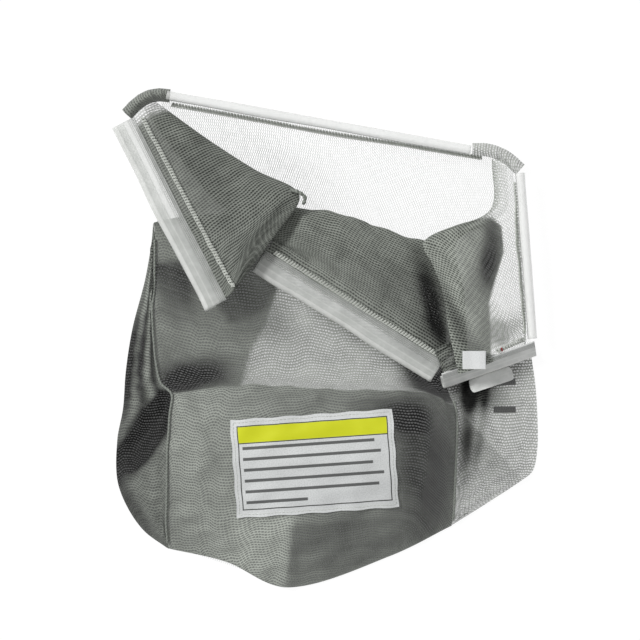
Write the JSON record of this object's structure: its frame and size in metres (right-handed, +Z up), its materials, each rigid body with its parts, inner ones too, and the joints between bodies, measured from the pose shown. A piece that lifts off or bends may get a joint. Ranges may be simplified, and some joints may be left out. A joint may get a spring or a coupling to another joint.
{
  "type": "mower grass collection bag",
  "caption": "Collapsed knitted mesh grass bag with push-on plastic binding channels round its folded-open mouth and a sewn patch on its bulging closed end.",
  "frame": {"origin": "on the floor below the middle of the bag's bounding box", "axes": "+Z up from the floor, +Y from the closed end to the mouth, +X along the label from left to right"},
  "size_m": [0.4514, 0.5322, 0.064],
  "materials": {
    "cloth": "grey-green warp-knit mesh",
    "cloth_pale": "the same mesh where light passes through fewer layers",
    "binding": "translucent white extruded vinyl",
    "stiffener": "flat milky plastic strip",
    "stitching": "overlock thread",
    "seam_cord": "corded seam",
    "label": "white coated tape with a yellow band",
    "tag": "white folded tape",
    "tack": "red thread"
  },
  "bodies": {
    "root": {"back_panel": "cloth_pale", "main_panel": "cloth", "left_side_panel": "cloth", "right_side_panel": "cloth_pale", "left_mouth_gusset": "cloth", "right_mouth_gusset": "cloth_pale", "top_left_corner": "cloth", "top_right_corner": "cloth", "mouth_corner_gather": "cloth", "top_binding": "binding", "right_binding": "binding", "left_binding": "binding", "front_binding": "binding", "lower_right_binding": "binding", "stiffener_strip": "stiffener", "top_stitching": "stitching", "right_stitching": "stitching", "left_stitching": "stitching", "front_stitching": "stitching", "lower_right_stitching": "stitching", "left_seam_cord": "seam_cord", "right_seam_cord": "seam_cord", "label": "label", "tag": "tag", "tack_stitch": "tack"}
  },
  "joints": []
}
